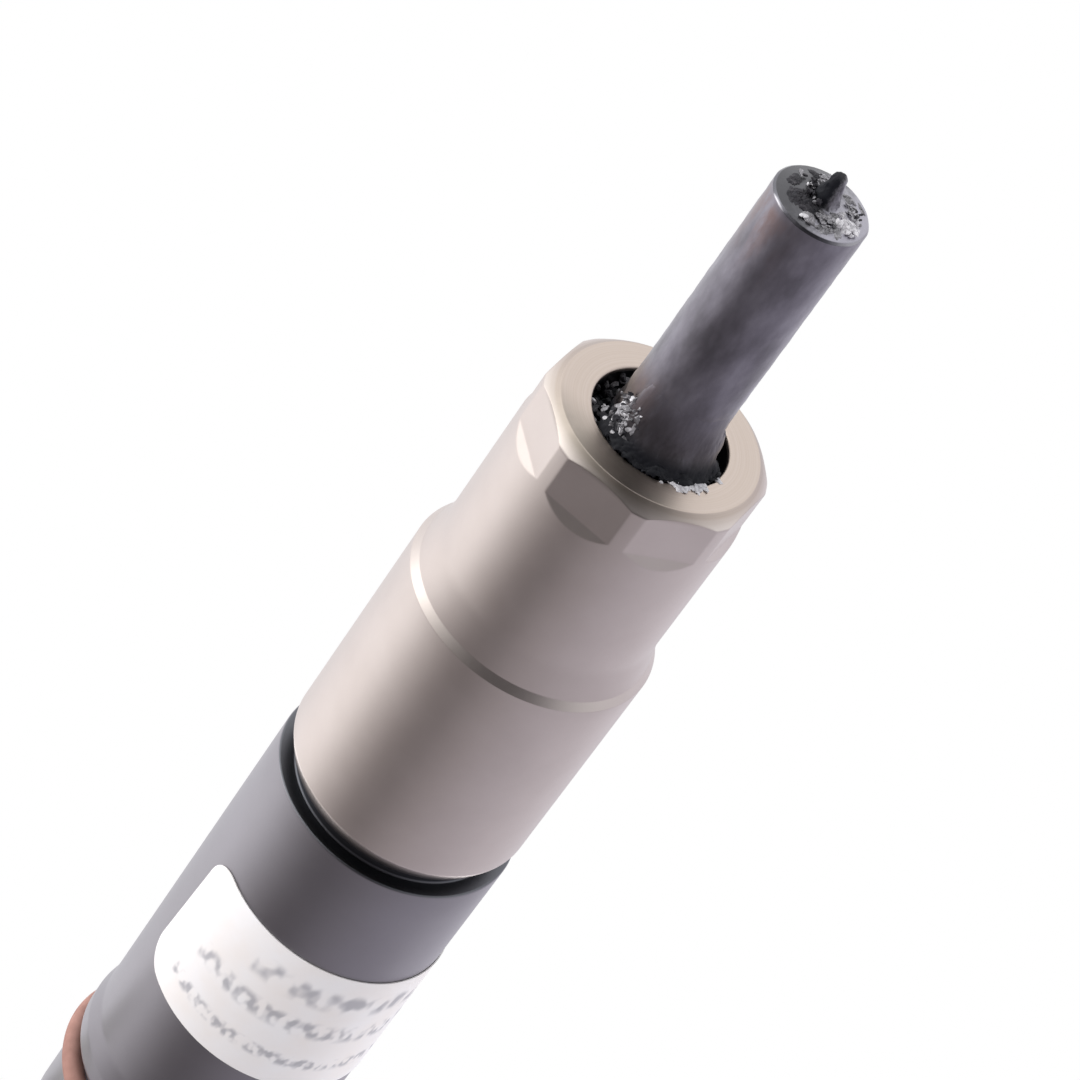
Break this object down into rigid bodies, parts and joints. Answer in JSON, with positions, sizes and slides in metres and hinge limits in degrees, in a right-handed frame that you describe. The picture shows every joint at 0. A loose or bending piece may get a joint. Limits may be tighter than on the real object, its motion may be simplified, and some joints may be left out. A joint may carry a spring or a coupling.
{
  "type": "fuel injector",
  "caption": "Common-rail diesel fuel injector: long nozzle in a stepped retaining nut with wrench flats, black labelled holder, side fuel inlet, solenoid head with plug socket.",
  "frame": {"origin": "on the injector's axis, in the plane of the retaining nut's seat face, which presses the copper washer in the cylinder head", "axes": "+Z along the axis from the nozzle towards the leak-off spigot, +X towards the fuel inlet, -X towards the electrical socket"},
  "size_m": [0.069, 0.0324, 0.1927],
  "materials": {
    "nozzle_steel": "heat-stained satin steel, sooted near the nut",
    "nut_steel": "satin pewter-coloured steel, turned and bead-blasted",
    "black_oxide_steel": "black oxide, satin",
    "label_film": "white printed film",
    "brown_elastomer": "matt brown fluoro-elastomer",
    "black_elastomer": "matt black",
    "ground_steel": "ground and lapped",
    "spring_steel": "oiled spring wire",
    "zinc_steel": "clear zinc plating, satin",
    "magnet_iron": "sintered soft-magnetic iron",
    "bobbin_plastic": "natural moulded nylon",
    "copper_wire": "enamelled copper wire",
    "cap_plastic": "black glass-filled nylon, fine mould texture",
    "terminal_metal": "plated brass"
  },
  "bodies": {
    "holder": {"nozzle_body": "nozzle_steel", "nozzle_retaining_nut": "nut_steel", "distance_plate": "ground_steel", "dowel_pin_left": "ground_steel", "dowel_pin_right": "ground_steel", "nozzle_spring": "spring_steel", "nozzle_spring_shim": "ground_steel", "injector_body": "black_oxide_steel", "type_label": "label_film", "body_seal_ring": "brown_elastomer", "control_valve_body": "ground_steel", "valve_lock_ring": "ground_steel", "armature_guide": "ground_steel", "armature_spring": "spring_steel", "armature_spring_plug": "ground_steel", "solenoid_core": "magnet_iron", "coil_bobbin": "bobbin_plastic", "coil_winding": "copper_wire", "armature_lift_shim": "ground_steel", "solenoid_seal_ring": "black_elastomer", "solenoid_housing": "zinc_steel", "solenoid_cap_nut": "zinc_steel", "connector_cap": "cap_plastic", "terminal_left": "terminal_metal", "terminal_right": "terminal_metal", "leak_off_spigot": "zinc_steel", "leak_off_seal_ring": "black_elastomer", "inlet_union": "zinc_steel", "edge_filter": "ground_steel"},
    "needle_assembly": {"nozzle_needle": "ground_steel", "needle_spring_seat": "ground_steel"},
    "command_piston": {"control_piston": "ground_steel"},
    "armature_assembly": {"armature": "magnet_iron"},
    "ball": {"valve_ball": "ground_steel"}
  },
  "joints": [
    {"name": "needle_lift", "type": "slide", "parent": "holder", "child": "needle_assembly", "axis": [0, 0, 1], "range_m": [0, 0.00025], "stiffness_N_per_m": 400, "springref_m": -0.001, "deforming": ["nozzle_spring"]},
    {"name": "piston_lift", "type": "slide", "parent": "holder", "child": "command_piston", "axis": [0, 0, 1], "range_m": [0, 0.00025]},
    {"name": "armature_lift", "type": "slide", "parent": "holder", "child": "armature_assembly", "axis": [0, 0, 1], "range_m": [0, 0.00006], "stiffness_N_per_m": 400, "springref_m": -0.001, "deforming": ["armature_spring"]},
    {"name": "ball_lift", "type": "slide", "parent": "holder", "child": "ball", "axis": [0, 0, 1], "range_m": [0, 0.00006]}
  ],
  "couplings": [
    {"joint": "piston_lift", "follows": "needle_lift", "ratio": 1},
    {"joint": "ball_lift", "follows": "armature_lift", "ratio": 1}
  ]
}
